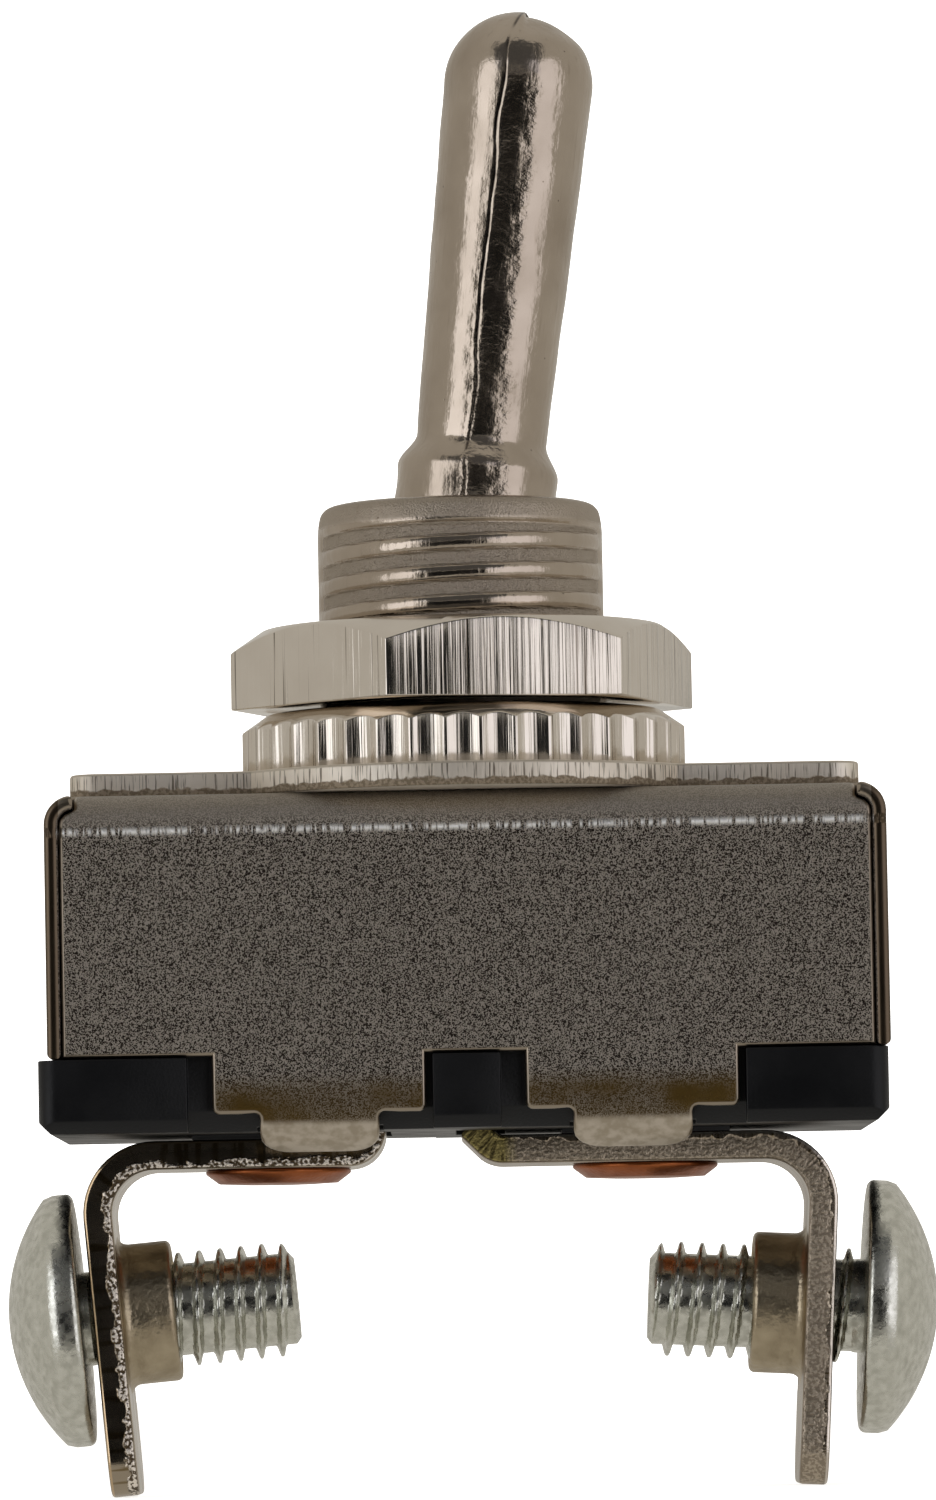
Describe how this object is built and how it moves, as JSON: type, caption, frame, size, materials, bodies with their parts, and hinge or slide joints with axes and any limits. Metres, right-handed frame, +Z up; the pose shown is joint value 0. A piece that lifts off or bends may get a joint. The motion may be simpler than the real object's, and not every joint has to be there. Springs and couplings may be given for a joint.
{
  "type": "panel toggle switch",
  "caption": "Two-terminal on/off toggle switch with a bat lever on a threaded panel stem, stem nuts, locating plate, metal can, black base and screw terminals.",
  "frame": {"origin": "on the stem's axis, at the top face of the locating plate, where the back of a panel comes when both nuts are taken off", "axes": "+Z up the stem towards the lever's tip, +X along the can towards the side the lever leans to at rest, +Y to the back of the can"},
  "size_m": [0.0389, 0.0216, 0.0623],
  "materials": {
    "nickel_zinc": "bright nickel over a cast surface, slightly wavy and pitted",
    "nickel_nut": "nickel over turned and milled brass-coloured steel, fine tool lines",
    "nickel_plate": "nickel over blanked sheet, sheared edges",
    "nickel_can": "dark nickel, fine matt grain",
    "phenolic": "moulded black phenolic",
    "terminal_nickel": "nickel-plated brass strip, sheared edges with brass showing",
    "copper": "bare copper",
    "zinc_screw": "bright zinc plate, bluish white",
    "contact_brass": "bare brass strip",
    "contact_silver": "silver alloy",
    "steel_wire": "plain steel",
    "nylon": "natural nylon",
    "vulcanised_fibre": "grey-brown vulcanised fibre"
  },
  "bodies": {
    "frame": {"locating_plate": "nickel_plate", "stem_bushing": "nickel_zinc", "can": "nickel_can", "insulating_liner": "vulcanised_fibre", "base": "phenolic", "fulcrum_bracket": "contact_brass", "rocker_pin": "steel_wire", "fixed_contact_strip": "contact_brass", "fixed_contact": "contact_silver", "rivet_left": "copper", "rivet_right": "copper", "terminal_left": "terminal_nickel", "terminal_right": "terminal_nickel"},
    "lever": {"lever": "nickel_zinc", "pivot_pin": "steel_wire", "plunger_spring": "steel_wire"},
    "plunger": {"plunger": "nylon"},
    "rocker": {"rocker": "copper", "moving_contact": "contact_silver"},
    "hex_nut": {"hex_nut": "nickel_nut"},
    "ring_nut": {"ring_nut": "nickel_nut"},
    "screw_left": {"screw_left": "zinc_screw"},
    "screw_right": {"screw_right": "zinc_screw"}
  },
  "joints": [
    {"name": "lever_tilt", "type": "hinge", "parent": "frame", "child": "lever", "pos_m": [0, 0, 0.0062], "axis": [0, 1, 0], "range_deg": [-14, 0]},
    {"name": "plunger_press", "type": "slide", "parent": "lever", "child": "plunger", "axis": [0.1219, 0, 0.9925], "range_m": [0, 0.0008], "stiffness_N_per_m": 10, "springref_m": -0.001, "deforming": ["plunger_spring"]},
    {"name": "rocker_tilt", "type": "hinge", "parent": "frame", "child": "rocker", "pos_m": [0, 0, -0.0103], "axis": [0, 1, 0], "range_deg": [0, 10]},
    {"name": "hex_nut_travel", "type": "slide", "parent": "frame", "child": "hex_nut", "axis": [0, 0, 1], "range_m": [0, 0.0048]},
    {"name": "ring_nut_travel", "type": "slide", "parent": "frame", "child": "ring_nut", "axis": [0, 0, 1], "range_m": [0, 0.0024]},
    {"name": "screw_left_travel", "type": "slide", "parent": "frame", "child": "screw_left", "axis": [0.9965, 0, 0.0837], "range_m": [-0.0048, 0.00045]},
    {"name": "screw_right_travel", "type": "slide", "parent": "frame", "child": "screw_right", "axis": [-0.9984, 0, 0.0558], "range_m": [-0.004, 0.00125]}
  ],
  "couplings": [
    {"joint": "rocker_tilt", "follows": "lever_tilt", "ratio": -0.71429},
    {"joint": "ring_nut_travel", "follows": "hex_nut_travel", "ratio": 0.5}
  ]
}
